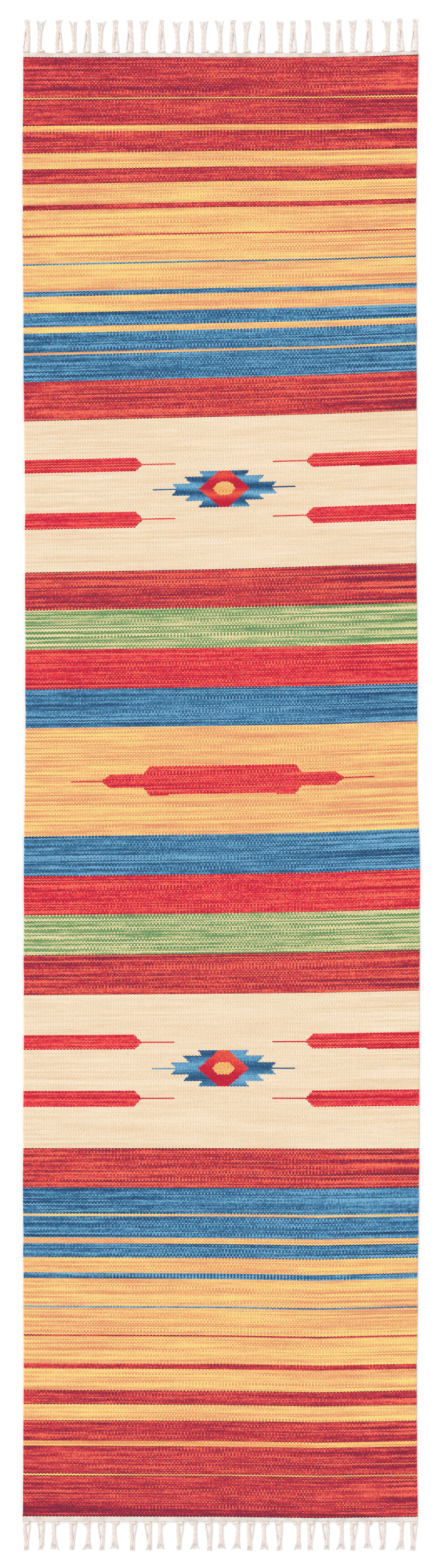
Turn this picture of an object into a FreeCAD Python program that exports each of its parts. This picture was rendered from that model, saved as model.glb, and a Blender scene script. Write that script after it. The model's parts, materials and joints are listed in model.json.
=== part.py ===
import FreeCAD, Part
import os
import Sketcher

# A hand-loomed cotton flatweave runner rug: bands of coloured weft beaten down over
# cotton warps, an ivory header at each end, and a row of knotted warp tassels past each header.
#
# Frame: X across the rug, +Y towards its north end, +Z up. The origin is the middle of the
# underside. Lengths are millimetres.
#
# The rug folds up flat along four lines, so every piece is made panel by panel:
# south_end - fold 1 - south_field - fold 2 - centre - fold 3 - north_field - fold 4 - north_end.
# In each panel a layer of warp bundles runs along the rug and each band of weft wraps it.

DIMENSIONS = {
    "rug_width": 655.0,
    "weave_thickness": 4.0,
    "fold_gap": 0.4,
    "fold_1": -684.0,
    "fold_2": -168.0,
    "fold_3": 328.0,
    "fold_4": 804.5,
    "warp_bundle_count": 27,
    "warp_bundle_width": 17.0,
    "warp_bundle_pitch": 24.2,
    "warp_layer_base": 1.4,
    "warp_layer_thickness": 1.2,
    "tassel_pitch": 24.8,
    "tassel_gap": 0.3,
    "knot_width": 11.0,
    "knot_length": 6.5,
    "knot_thickness": 5.0,
    "knot_corner": 2.2,
    "cord_root_width": 4.0,
    "cord_tip_width": 5.0,
    "cord_root_spread": 3.0,
    "cord_tip_spread": 5.0,
    "cord_thickness": 3.0,
    "north_cord_length": 49.2,
    "south_cord_length": 43.2,
    "north_medallion_x": 6.5,
    "north_medallion_y": 493.0,
    "south_medallion_x": 5.0,
    "south_medallion_y": -470.5,
    "medallion_rise": 30.5,
    "wing_tip_1": 43.0,
    "wing_tip_2": 67.0,
    "wing_tip_3": 88.0,
    "wing_notch_1": 34.5,
    "wing_notch_2": 56.5,
    "wing_notch_3": 79.0,
    "wing_tail": 116.0,
    "tail_width": 1.7,
    "diamond_flat": 7.6,
    "diamond_reach": 42.5,
    "eye_reach": 18.5,
    "eye_rise": 10.8,
    "eye_flat": 6.0,
    "eye_corner_reach": 12.0,
    "eye_corner_rise": 8.2,
    "side_bar_shoulder": 148.5,
    "side_bar_point": 136.0,
    "side_bar_tail": 84.0,
    "north_upper_bar_y": 535.5,
    "north_upper_bar_width": 23.5,
    "north_lower_bar_y": 444.5,
    "north_lower_bar_width": 27.0,
    "south_upper_bar_y": -426.5,
    "south_upper_bar_width": 25.0,
    "south_lower_bar_y": -520.0,
    "south_lower_bar_width": 27.0,
    "centre_bar_x": 3.5,
    "centre_bar_y": 8.5,
    "centre_bar_reach": 121.5,
    "centre_bar_rise": 23.7,
    "centre_bar_shoulder": 133.0,
    "centre_bar_step_reach": 188.5,
    "centre_bar_step_rise": 10.8,
    "centre_bar_point": 202.0,
    "centre_bar_tail": 250.0,
}

# The weaver's chart, from north to south: each band of weft, and how far its south edge lies
# from the middle of the rug, measured down the rug's centre line.
NORTH_END = 1216.5
CHART = (
    ("ivory_1", 1209.5),
    ("dark_red_1", 1143.5),
    ("gold_1", 1141.5),
    ("dark_red_2", 1098.0),
    ("gold_2", 1088.0),
    ("dark_red_3", 1054.0),
    ("orange_1", 1028.0),
    ("dark_red_4", 1003.5),
    ("orange_2", 969.5),
    ("dark_red_5", 960.5),
    ("orange_3", 918.5),
    ("red_pin_1", 916.5),
    ("orange_4", 872.0),
    ("blue_pin_1", 870.0),
    ("orange_5", 826.5),
    ("blue_1", 818.0),
    ("orange_6", 791.0),
    ("blue_2", 768.0),
    ("orange_7", 757.5),
    ("blue_3", 725.5),
    ("orange_8", 721.5),
    ("blue_4", 677.5),
    ("red_1", 612.0),
    ("cream_1", 359.0),
    ("red_2", 295.0),
    ("green_1", 229.0),
    ("bright_red_1", 162.5),
    ("blue_5", 98.5),
    ("orange_9", -81.5),
    ("blue_6", -147.5),
    ("bright_red_2", -213.0),
    ("green_2", -279.5),
    ("red_3", -346.5),
    ("cream_2", -603.0),
    ("red_4", -669.0),
    ("blue_7", -712.5),
    ("orange_10", -716.5),
    ("blue_8", -752.5),
    ("orange_11", -762.0),
    ("blue_9", -785.5),
    ("orange_12", -811.0),
    ("blue_10", -820.5),
    ("orange_13", -866.5),
    ("blue_pin_2", -868.5),
    ("orange_14", -914.0),
    ("red_pin_2", -916.0),
    ("orange_15", -961.5),
    ("dark_red_6", -970.5),
    ("orange_16", -1006.0),
    ("dark_red_7", -1029.5),
    ("orange_17", -1056.0),
    ("dark_red_8", -1090.0),
    ("gold_3", -1098.5),
    ("dark_red_9", -1145.0),
    ("gold_4", -1147.0),
    ("dark_red_10", -1215.5),
    ("ivory_2", -1222.5),
)

# Hand beating leaves the weft lines a little out of square. Each row says, for a place along the
# rug, how far north of its centre point a line lies at the left edge, the right quarter and the
# right edge.
LEAN_COLUMNS = ("lean_place", "left_lift", "quarter_lift", "right_lift")
LEAN = (
    (1216.5, 0.0, 0.0, 2.0),
    (1000.0, -6.0, 1.0, 5.0),
    (700.0, -8.0, 4.0, 11.0),
    (360.0, -6.0, 5.0, 10.0),
    (200.0, -4.0, 2.0, 6.0),
    (-80.0, -4.0, 3.0, 10.0),
    (-300.0, -3.0, 2.0, 6.0),
    (-600.0, 0.0, -1.0, 0.0),
    (-820.0, 2.0, -3.0, 1.0),
    (-1222.5, 1.0, -2.0, 0.0),
)

# Which bands each woven piece is made of, panel by panel. A band that a fold crosses is two
# pieces, one each side of the fold, and they are named after the fold.
PANELS = {
    "north_end": {
        "north_header_band": ("ivory_1",),
        "north_dark_red_stripes": ("dark_red_1", "dark_red_2", "dark_red_3", "dark_red_4", "dark_red_5"),
        "north_gold_stripes": ("gold_1", "gold_2"),
        "north_wide_orange_stripes": ("orange_1", "orange_2"),
        "north_thin_orange_stripes": ("orange_3", "orange_4", "orange_5"),
        "north_red_pinstripe": ("red_pin_1",),
        "north_blue_pinstripe": ("blue_pin_1",),
        "north_narrow_blue_stripe": ("blue_1",),
        "fold_4_orange_band_north": ("orange_6",),
    },
    "north_field": {
        "fold_4_orange_band_south": ("orange_6",),
        "north_blue_stripes": ("blue_2", "blue_3"),
        "north_orange_stripe": ("orange_7",),
        "north_orange_pinstripe": ("orange_8",),
        "north_wide_blue_stripe": ("blue_4",),
        "north_outer_red_band": ("red_1",),
        "north_cream_field": ("cream_1",),
        "fold_3_red_band_north": ("red_2",),
    },
    "centre": {
        "fold_3_red_band_south": ("red_2",),
        "north_green_band": ("green_1",),
        "north_bright_red_band": ("bright_red_1",),
        "north_blue_band": ("blue_5",),
        "centre_orange_field": ("orange_9",),
        "south_blue_band": ("blue_6",),
        "fold_2_bright_red_band_north": ("bright_red_2",),
    },
    "south_field": {
        "fold_2_bright_red_band_south": ("bright_red_2",),
        "south_green_band": ("green_2",),
        "south_inner_red_band": ("red_3",),
        "south_cream_field": ("cream_2",),
        "south_outer_red_band": ("red_4",),
        "fold_1_blue_band_north": ("blue_7",),
    },
    "south_end": {
        "fold_1_blue_band_south": ("blue_7",),
        "south_orange_pinstripe": ("orange_10",),
        "south_blue_stripes": ("blue_8", "blue_9"),
        "south_orange_stripes": ("orange_11", "orange_12"),
        "south_narrow_blue_stripe": ("blue_10",),
        "south_thin_orange_stripes": ("orange_13", "orange_14", "orange_15"),
        "south_blue_pinstripe": ("blue_pin_2",),
        "south_red_pinstripe": ("red_pin_2",),
        "south_wide_orange_stripes": ("orange_16", "orange_17"),
        "south_dark_red_stripes": ("dark_red_6", "dark_red_7", "dark_red_8", "dark_red_9", "dark_red_10"),
        "south_gold_stripes": ("gold_3", "gold_4"),
        "south_header_band": ("ivory_2",),
    },
}
FOLD_NORTH_OF = {"north_field": 4, "centre": 3, "south_field": 2, "south_end": 1}
FOLD_SOUTH_OF = {"north_end": 4, "north_field": 3, "centre": 2, "south_field": 1}

document = FreeCAD.newDocument("runner_rug")
sizes = document.addObject("Spreadsheet::Sheet", "Sizes")
subparts = {}


def fill_sheet():
    """Put every driving dimension in the sheet, one aliased cell each."""
    cells = dict(DIMENSIONS)
    cells["north_end_edge"] = NORTH_END
    for band, south_edge in CHART:
        cells[f"{band}_edge"] = south_edge
    for row, lean in enumerate(LEAN):
        for column, number in zip(LEAN_COLUMNS, lean):
            cells[f"{column}_{row}"] = number
    for row, (alias, number) in enumerate(cells.items(), start=1):
        sizes.set(f"A{row}", alias)
        sizes.set(f"B{row}", str(number))
        sizes.setAlias(f"B{row}", alias)
    document.recompute()


def value(expression):
    """The number that an expression on the sheet gives now."""
    return float(sizes.evalExpression(expression))


def lean(across, along):
    """Expression for how far north the weft line at `along` has drifted at `across`."""
    here = value(along)
    row = 0
    while row < len(LEAN) - 2 and value(f"Sizes.lean_place_{row + 1}") > here:
        row += 1
    share = (f"((Sizes.lean_place_{row} - ({along})) / "
             f"(Sizes.lean_place_{row} - Sizes.lean_place_{row + 1}))")

    def lift(column):
        start = f"Sizes.{column}_lift_{row}"
        return f"({start} + (Sizes.{column}_lift_{row + 1} - {start}) * {share})"

    reach = value(across) / value("Sizes.rug_width / 4")
    if reach <= 0:
        return f"{lift('left')} * -({across}) / (Sizes.rug_width / 2)"
    if reach <= 1:
        return f"{lift('quarter')} * ({across}) / (Sizes.rug_width / 4)"
    past = f"(({across}) / (Sizes.rug_width / 4) - 1)"
    return f"({lift('quarter')} + ({lift('right')} - {lift('quarter')}) * {past})"


def on_weft(points):
    """Move points, given square to the rug, onto its leaning weft lines."""
    return [(across, f"{along} + {lean(across, along)}") for across, along in points]


def weft_edge(alias):
    """Points of a colour change from the left edge of the rug to the right."""
    stations = ("-Sizes.rug_width / 2", "0", "Sizes.rug_width / 4", "Sizes.rug_width / 2")
    return on_weft([(across, f"Sizes.{alias}") for across in stations])


def straight_edge(along):
    """Points of a straight edge square to the rug."""
    return [("-Sizes.rug_width / 2", along), ("Sizes.rug_width / 2", along)]


def add_sketch(body, name, outlines):
    """A sketch of closed outlines on the body's XY plane, every point bound to the sheet."""
    sketch = body.newObject("Sketcher::SketchObject", name)
    planes = [feature for feature in body.Origin.OriginFeatures if feature.Role == "XY_Plane"]
    sketch.AttachmentSupport = [(planes[0], "")]
    sketch.MapMode = "FlatFace"
    for outline in outlines:
        corners = [FreeCAD.Vector(value(x), value(y), 0) for x, y in outline]
        sides = []
        for number, corner in enumerate(corners):
            following = corners[(number + 1) % len(corners)]
            sides.append(sketch.addGeometry(Part.LineSegment(corner, following), False))
        for number, side in enumerate(sides):
            following = sides[(number + 1) % len(sides)]
            sketch.addConstraint(Sketcher.Constraint("Coincident", side, 2, following, 1))
        for side, corner, (x, y) in zip(sides, corners, outline):
            across = sketch.addConstraint(Sketcher.Constraint("DistanceX", -1, 1, side, 1, corner.x))
            along = sketch.addConstraint(Sketcher.Constraint("DistanceY", -1, 1, side, 1, corner.y))
            sketch.setExpression(f"Constraints[{across}]", x)
            sketch.setExpression(f"Constraints[{along}]", y)
    return sketch


def padded_body(label, outlines, thickness):
    """A body padded up from z = 0 from one or more separate outlines."""
    body = document.addObject("PartDesign::Body", f"{label}_body")
    body.AllowCompound = True
    sketch = add_sketch(body, f"{label}_sketch", outlines)
    pad = body.newObject("PartDesign::Pad", f"{label}_pad")
    pad.Profile = sketch
    pad.setExpression("Length", thickness)
    body.Tip = pad
    return body, sketch, pad


def patterned_body(label, outlines, thickness, count, pitch):
    """A padded body repeated at an even pitch towards +X."""
    body, sketch, pad = padded_body(label, outlines, thickness)
    row = body.newObject("PartDesign::LinearPattern", f"{label}_row")
    row.Originals = [pad]
    row.Direction = (sketch, ["H_Axis"])
    row.setExpression("Length", f"({count} - 1) * {pitch}")
    row.setExpression("Occurrences", count)
    body.Tip = row
    return body


def cut(label, base, tool):
    """The base with the tool's space taken out of it."""
    result = document.addObject("Part::Cut", label)
    result.Base = base
    result.Tool = tool
    return result


def keep(label, piece):
    """Name a finished sub-part after the file it is written to."""
    piece.Label = label
    subparts[label] = piece


def panel_span(panel):
    """Expressions for the straight north and south ends of a panel."""
    north = "Sizes.north_end_edge"
    if panel in FOLD_NORTH_OF:
        north = f"Sizes.fold_{FOLD_NORTH_OF[panel]} - Sizes.fold_gap / 2"
    south = f"Sizes.{CHART[-1][0]}_edge"
    if panel in FOLD_SOUTH_OF:
        south = f"Sizes.fold_{FOLD_SOUTH_OF[panel]} + Sizes.fold_gap / 2"
    return north, south


def band_outline(band, panel):
    """Outline of one band of weft, stopped at the panel's folds and at the rug's two ends."""
    order = [name for name, _ in CHART]
    number = order.index(band)
    north_end, south_end = panel_span(panel)
    south_alias = f"{band}_edge"
    north_alias = "north_end_edge" if number == 0 else f"{order[number - 1]}_edge"
    north = weft_edge(north_alias)
    south = weft_edge(south_alias)
    if value(f"Sizes.{north_alias}") >= value(north_end):
        north = straight_edge(north_end)
    if value(f"Sizes.{south_alias}") <= value(south_end):
        south = straight_edge(south_end)
    return north + south[::-1]


def warp_bundles(panel):
    """The warps of one panel: flat bundles side by side, each ending in one tassel."""
    north, south = panel_span(panel)
    first = "-(Sizes.warp_bundle_count - 1) / 2 * Sizes.warp_bundle_pitch"
    west = f"{first} - Sizes.warp_bundle_width / 2"
    east = f"{first} + Sizes.warp_bundle_width / 2"
    outline = [(west, south), (east, south), (east, north), (west, north)]
    bundles = patterned_body(f"{panel}_warps", [outline], "Sizes.warp_layer_thickness",
                             "Sizes.warp_bundle_count", "Sizes.warp_bundle_pitch")
    bundles.setExpression("Placement.Base.z", "Sizes.warp_layer_base")
    keep(f"{panel}_warps", bundles)
    return bundles


def mirrored(half):
    """Close a half outline, given above an axis, with its mirror image below it."""
    return half + [(x, f"-({y})") for x, y in reversed(half) if y != "0"]


def placed(points, side, centre_x, centre_y):
    """Points about a motif's centre, turned to the left (-1) or right (1), on the weft lines."""
    return on_weft([(f"Sizes.{centre_x} + {side} * ({x})", f"Sizes.{centre_y} + ({y})") for x, y in points])


def wing_outline(end, side):
    """One blue wing of a medallion: three stepped spikes above and below a thin tail."""
    rise = "Sizes.medallion_rise"
    half = [
        ("Sizes.diamond_reach", "0"),
        ("Sizes.diamond_flat", rise),
        ("Sizes.wing_tip_1", rise),
        ("Sizes.wing_notch_1", f"{rise} * 2 / 3"),
        ("Sizes.wing_tip_2", f"{rise} * 2 / 3"),
        ("Sizes.wing_notch_2", f"{rise} / 3"),
        ("Sizes.wing_tip_3", f"{rise} / 3"),
        ("Sizes.wing_notch_3", "Sizes.tail_width / 2"),
        ("Sizes.wing_tail", "Sizes.tail_width / 2"),
    ]
    return placed(mirrored(half), side, f"{end}_medallion_x", f"{end}_medallion_y")


def diamond_outline(end):
    """The red diamond between a medallion's wings, flat at top and bottom."""
    right = [("Sizes.diamond_flat", "Sizes.medallion_rise"), ("Sizes.diamond_reach", "0"),
             ("Sizes.diamond_flat", "-Sizes.medallion_rise")]
    left = [(f"-{x}", y) for x, y in reversed(right)]
    return placed(right + left, 1, f"{end}_medallion_x", f"{end}_medallion_y")


def eye_outline(end):
    """The small ten-sided eye in a diamond."""
    quarter = [("Sizes.eye_flat", "Sizes.eye_rise"), ("Sizes.eye_corner_reach", "Sizes.eye_corner_rise"),
               ("Sizes.eye_reach", "0")]
    right = quarter + [(x, f"-{y}") for x, y in reversed(quarter[:-1])]
    left = [(f"-{x}", y) for x, y in reversed(right)]
    return placed(right + left, 1, f"{end}_medallion_x", f"{end}_medallion_y")


def side_bar_outline(end, level, side):
    """A bar from the rug's side edge to a point and a thin tail facing the medallion."""
    centre = f"{end}_medallion_x"
    edge = f"Sizes.rug_width / 2 - {side} * Sizes.{centre}"
    rise = f"Sizes.{end}_{level}_bar_width / 2"
    half = [
        (edge, rise),
        ("Sizes.side_bar_shoulder", rise),
        ("Sizes.side_bar_point", "Sizes.tail_width / 2"),
        ("Sizes.side_bar_tail", "Sizes.tail_width / 2"),
    ]
    return placed(mirrored(half), side, centre, f"{end}_{level}_bar_y")


def centre_bar_outline():
    """The long centre bar: bevelled down to a narrower bar, then a point and a tail, each way."""
    half = [
        ("Sizes.centre_bar_reach", "Sizes.centre_bar_rise"),
        ("Sizes.centre_bar_shoulder", "Sizes.centre_bar_step_rise"),
        ("Sizes.centre_bar_step_reach", "Sizes.centre_bar_step_rise"),
        ("Sizes.centre_bar_point", "Sizes.tail_width / 2"),
        ("Sizes.centre_bar_tail", "Sizes.tail_width / 2"),
    ]
    right = mirrored(half)
    left = [(f"-{x}", y) for x, y in reversed(right)]
    return placed(right + left, 1, "centre_bar_x", "centre_bar_y")


def woven_piece(label, outlines, warps, inlays=()):
    """A piece of weft: its outlines, less any inlays, wrapped round the panel's warps."""
    thickness = "Sizes.weave_thickness"
    piece, _, _ = padded_body(label, outlines, thickness)
    for number, inlay in enumerate(inlays):
        tool, _, _ = padded_body(f"{label}_inlay_{number}", [inlay], thickness)
        piece = cut(f"{label}_less_{number}", piece, tool)
    keep(label, cut(f"{label}_cut", piece, warps))


def medallion_pieces(end, warps):
    """The medallion and side bars of one cream field, and all the outlines they take from it."""
    wings = [wing_outline(end, -1), wing_outline(end, 1)]
    diamond = diamond_outline(end)
    eye = eye_outline(end)
    bars = [side_bar_outline(end, level, side) for level in ("upper", "lower") for side in (-1, 1)]
    woven_piece(f"{end}_medallion_wings", wings, warps)
    woven_piece(f"{end}_medallion_diamond", [diamond], warps, [eye])
    woven_piece(f"{end}_medallion_eye", [eye], warps)
    woven_piece(f"{end}_side_bars", bars, warps)
    return wings + [diamond] + bars


def woven_panel(panel):
    """Every woven piece of one panel and the warps inside it."""
    warps = warp_bundles(panel)
    inlays = {}
    if panel == "north_field":
        inlays["north_cream_field"] = medallion_pieces("north", warps)
    if panel == "south_field":
        inlays["south_cream_field"] = medallion_pieces("south", warps)
    if panel == "centre":
        inlays["centre_orange_field"] = [centre_bar_outline()]
        woven_piece("centre_red_bar", [centre_bar_outline()], warps)
    for label, bands in PANELS[panel].items():
        outlines = [band_outline(band, panel) for band in bands]
        woven_piece(label, outlines, warps, inlays.get(label, ()))


def tassel_row(end, edge, outward):
    """The knots and the two loose cords of every tassel past one header."""
    first = "-(Sizes.warp_bundle_count - 1) / 2 * Sizes.tassel_pitch"
    root = f"{edge} + {outward} * Sizes.tassel_gap"
    width = "Sizes.knot_width / 2"
    narrow = "(Sizes.knot_width / 2 - Sizes.knot_corner)"
    right = [(narrow, "0"), (width, "Sizes.knot_corner"),
             (width, "Sizes.knot_length - Sizes.knot_corner"), (narrow, "Sizes.knot_length")]
    knot = right + [(f"-{x}", y) for x, y in reversed(right)]
    knot = [(f"{first} + {x}", f"{root} + {outward} * ({y})") for x, y in knot]
    knots = patterned_body(f"{end}_tassel_knots", [knot], "Sizes.knot_thickness",
                           "Sizes.warp_bundle_count", "Sizes.tassel_pitch")
    keep(f"{end}_tassel_knots", knots)

    start = f"{root} + {outward} * Sizes.knot_length"
    tip = f"{start} + {outward} * Sizes.{end}_cord_length"
    cords = []
    for side in (-1, 1):
        root_middle = f"{first} + {side} * Sizes.cord_root_spread"
        tip_middle = f"{first} + {side} * Sizes.cord_tip_spread"
        cords.append([
            (f"{root_middle} - Sizes.cord_root_width / 2", start),
            (f"{root_middle} + Sizes.cord_root_width / 2", start),
            (f"{tip_middle} + Sizes.cord_tip_width / 2", tip),
            (f"{tip_middle} - Sizes.cord_tip_width / 2", tip),
        ])
    row = patterned_body(f"{end}_tassel_cords", cords, "Sizes.cord_thickness",
                         "Sizes.warp_bundle_count", "Sizes.tassel_pitch")
    keep(f"{end}_tassel_cords", row)


def check_and_write():
    """Stop on any failed object, then write each sub-part to its own file."""
    document.recompute()
    for item in document.Objects:
        if "Invalid" in item.State or "Error" in item.State:
            raise SystemExit(f"{item.Label} failed to recompute: {item.State}")
    os.makedirs("parts", exist_ok=True)
    for label, piece in subparts.items():
        if piece.Shape.isNull() or not piece.Shape.isValid():
            raise SystemExit(f"{label} has no valid shape")
        piece.Shape.exportStep(f"parts/{label}.step")
        print(f"{label}: {len(piece.Shape.Solids)} solid(s), {piece.Shape.Volume / 1000:.2f} cm3")


fill_sheet()
for panel_name in PANELS:
    woven_panel(panel_name)
tassel_row("north", "Sizes.north_end_edge", 1)
tassel_row("south", f"Sizes.{CHART[-1][0]}_edge", -1)
check_and_write()
print(len(subparts), "sub-parts written")
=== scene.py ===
import functools
import json
import math
import random

import bpy
import numpy as np
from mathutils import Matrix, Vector


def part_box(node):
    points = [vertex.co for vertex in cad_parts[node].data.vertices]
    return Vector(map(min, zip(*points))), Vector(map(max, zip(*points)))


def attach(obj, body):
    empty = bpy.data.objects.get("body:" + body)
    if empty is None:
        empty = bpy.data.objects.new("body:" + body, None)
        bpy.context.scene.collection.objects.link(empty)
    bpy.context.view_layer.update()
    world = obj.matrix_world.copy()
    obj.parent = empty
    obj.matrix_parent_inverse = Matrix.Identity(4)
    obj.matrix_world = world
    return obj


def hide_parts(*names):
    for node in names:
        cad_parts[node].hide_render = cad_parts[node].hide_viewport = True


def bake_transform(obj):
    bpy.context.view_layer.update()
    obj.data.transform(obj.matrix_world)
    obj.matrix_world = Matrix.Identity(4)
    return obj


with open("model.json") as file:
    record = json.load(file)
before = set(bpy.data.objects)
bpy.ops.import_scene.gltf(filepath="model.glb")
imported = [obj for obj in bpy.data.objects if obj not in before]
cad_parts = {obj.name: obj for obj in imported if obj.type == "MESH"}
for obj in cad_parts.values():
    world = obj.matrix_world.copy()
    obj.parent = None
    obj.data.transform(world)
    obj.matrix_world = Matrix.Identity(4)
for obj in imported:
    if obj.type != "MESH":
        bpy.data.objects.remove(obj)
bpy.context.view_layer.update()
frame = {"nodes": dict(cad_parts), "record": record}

# A weft-faced flatweave runner. One woven grid covers the whole rug: columns follow the warp
# threads, rows follow the leaning weft lines between the colour changes of the CAD bands, and
# every piece is the part of that grid that its CAD node covers, top, underside and edges.

NODES = frame["nodes"]
BODY_OF = {node: body for body, nodes in frame["record"]["behaviour"]["bodies"].items() for node in nodes}
SLOT_OF = {part["node"]: part["material_slot"] for part in frame["record"]["subparts"]}
HALF_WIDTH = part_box("north_dark_red_stripes")[1].x
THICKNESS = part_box("north_dark_red_stripes")[1].z
MM = 0.001

# The cloth: what the loom and the yarn give it. The side edges round off over SELVEDGE, down to
# SELVEDGE_HALF above and below their middle, and the cloth stands up to LIFT off the floor.
WARP_THREADS = 236
COLUMNS = 2 * WARP_THREADS
PICK = 1.12 * MM
RIB_DEPTH = 0.28 * MM
BUMP = 0.05 * MM
SELVEDGE = 3.0 * MM
SELVEDGE_HALF = 0.9 * MM
LIFT = 0.3 * MM
HEAD_RISE = 3.0 * MM
PINSTRIPE_SPREAD = 0.3 * MM
# The grid: the height of a plain row, the finer rows beside a fold, the flat row of a motif's
# single-pick tail and the columns by which it runs on past its ends, and the angle of a sharp edge.
PLAIN_ROW = 3.4 * MM
FOLD_ROWS = 14
FOLD_REACH = 10 * MM
THIN_LINE = 2.4 * MM
TAIL_OVERLAP = 2
SHARP_ANGLE = 55
# A stripe that is narrower than this is no sheet of its own.
NARROWEST_SHEET = 14 * MM

# How far the side edges lie outside the straight CAD edges, in millimetres, from north to south:
# place along the rug, west edge, east edge.
SWAY = (
    (1220, 0.0, 1.0), (950, 1.2, -2.6), (600, -1.6, -1.4), (420, -3.0, -3.0), (200, -3.8, -0.4),
    (0, -3.2, -0.2), (-120, -0.8, 3.6), (-350, -1.0, 3.2), (-650, 0.2, 2.4), (-900, -0.4, -1.0),
    (-1000, -1.2, -2.0), (-1225, 1.0, 0.2),
)

# The field pieces and the motifs inlaid in them, the innermost first.
CREAM_MOTIFS = ("medallion_eye", "medallion_diamond", "medallion_wings", "side_bars")
MOTIFS = {
    "north_cream_field": [f"north_{motif}" for motif in CREAM_MOTIFS],
    "centre_orange_field": ["centre_red_bar"],
    "south_cream_field": [f"south_{motif}" for motif in CREAM_MOTIFS],
}
# The tassels of each end, west to east, in the groups that wider gaps part. l and r are loops with
# their single cord on the left or the right; y and Y are stems with the knot's lump on the left
# or the right. A wider gap is WIDE_GAP times the usual one.
TASSELS = {
    "north": ("lY", "rylYrlY", "rylYyrYl", "yrl", "yrYl", "yrl"),
    "south": ("rlY", "rylY", "rlY", "rylYyrYl", "yrlyrYl", "yr"),
}
WIDE_GAP = 1.28


# ---- reading the CAD outlines

def signed_area(loop):
    x, y = np.array(loop).T
    return 0.5 * float(np.sum(x * np.roll(y, -1) - np.roll(x, -1) * y))


@functools.cache
def outlines(node):
    """The outline of each solid of a node seen from above: closed lists of (x, y)."""
    tolerance = 1e-5
    mesh = NODES[node].data
    corner = [tuple(round(c, 5) for c in vertex.co) for vertex in mesh.vertices]
    top = max(c[2] for c in corner)
    sides = set()
    for face in mesh.polygons:
        ring = [corner[v] for v in face.vertices]
        if all(c[2] > top - tolerance for c in ring) and face.normal.z > 0.5:
            sides.update(zip(ring, ring[1:] + ring[:1]))
    following = {a: b for a, b in sorted(sides) if (b, a) not in sides}
    loops = []
    while following:
        start = min(following)
        here = following.pop(start)
        loop = [start[:2]]
        while here != start:
            loop.append(here[:2])
            here = following.pop(here)
        loops.append(loop)
    return [loop for loop in loops if signed_area(loop) > 0]


COLUMN_X = np.linspace(-HALF_WIDTH, HALF_WIDTH, COLUMNS + 1)


def long_edges(loop):
    """The north and the south edge of a band that spans the rug, as heights over the columns."""
    corner = [loop.index(min(loop, key=lambda p: (sx * p[0], sy * p[1])))
              for sx, sy in ((1, 1), (-1, 1), (-1, -1))]
    turned = loop[corner[0]:] + loop[:corner[0]]
    south_east = (corner[1] - corner[0]) % len(loop)
    north_east = (corner[2] - corner[0]) % len(loop)
    edges = []
    for points in (turned[north_east:], turned[:south_east + 1]):
        x, y = np.array(sorted(points)).T
        edges.append(np.interp(COLUMN_X, x, y))
    return edges


def mean_height(strip):
    return float(np.mean(strip["north"] - strip["south"]))


def is_pinstripe(strip):
    """Whether a strip is only two picks wide. Its picks spread over the floats beside them."""
    return mean_height(strip) < 2.5 * PICK


def band_strips():
    """Every woven strip that spans the rug, north to south: its node and its two edges. The wide
    gaps between the bands are the fields."""
    widest_seam = 50 * MM
    inlaid = [motif for motifs in MOTIFS.values() for motif in motifs]
    strips = []
    for node in NODES:
        if "tassel" in node or "warps" in node or node in inlaid or node in MOTIFS:
            continue
        for loop in outlines(node):
            north, south = long_edges(loop)
            strips.append({"node": node, "north": north, "south": south})
    strips.sort(key=lambda strip: -strip["north"].mean())
    full = []
    fields = list(MOTIFS)
    for strip in strips:
        if full and full[-1]["south"].mean() - strip["north"].mean() > widest_seam:
            full.append({"node": fields.pop(0), "north": full[-1]["south"], "south": strip["north"]})
        full.append(strip)
    for upper, lower in zip(full, full[1:]):
        spread = PINSTRIPE_SPREAD * (is_pinstripe(lower) - is_pinstripe(upper))
        shared = (upper["south"] + lower["north"]) / 2 + spread
        upper["south"] = shared
        lower["north"] = shared
    return full


def fold_of(node):
    """The joint that a folded band lies on, or None for any other node."""
    return "_".join(node.split("_")[:2]) if node.startswith("fold_") else None


def number_the_picks(strips):
    """Give each band a whole number of picks. The two halves of a folded band share theirs."""
    first = 0
    number = len(strips) - 1
    while number >= 0:
        parts = [strips[number]]
        if fold_of(strips[number]["node"]):
            parts.append(strips[number - 1])
        south = parts[0]["south"]
        north = parts[-1]["north"]
        picks = max(2, round(float(np.mean(north - south)) / PICK))
        if parts[0]["node"] in MOTIFS:
            picks += picks % 2
        for part in parts:
            part.update(first=first, picks=picks, band_south=south, band_north=north, seed=number)
        first += picks
        number -= len(parts)


# ---- the woven grid

def value_noise(x, y, seed):
    """Smooth repeatable noise from -1 to 1."""
    def lattice(ix, iy):
        mixed = np.sin(ix * 127.1 + iy * 311.7 + seed * 74.7) * 43758.5453
        return (mixed - np.floor(mixed)) * 2 - 1
    ix = np.floor(x)
    iy = np.floor(y)
    fx = x - ix
    fy = y - iy
    fx = fx * fx * (3 - 2 * fx)
    fy = fy * fy * (3 - 2 * fy)
    low = lattice(ix, iy) * (1 - fx) + lattice(ix + 1, iy) * fx
    high = lattice(ix, iy + 1) * (1 - fx) + lattice(ix + 1, iy + 1) * fx
    return low * (1 - fy) + high * fy


def sway(x, y):
    """Sideways shift of cloth at (x, y): the side edges wander, the middle stays put."""
    place, west, east = np.array(SWAY[::-1]).T * MM
    small = 0.5 * MM * value_noise(y / (30 * MM), np.sign(x) * 3, seed=9)
    west_shift = -(np.interp(y, place, west) + small)
    east_shift = np.interp(y, place, east) + small
    share = np.abs(x / HALF_WIDTH) ** 2
    return np.where(x < 0, west_shift, east_shift) * share


def climb(value, start, length):
    """0 up to start, then up to 1 over length."""
    return np.clip((value - start) / length, 0, 1)


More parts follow.
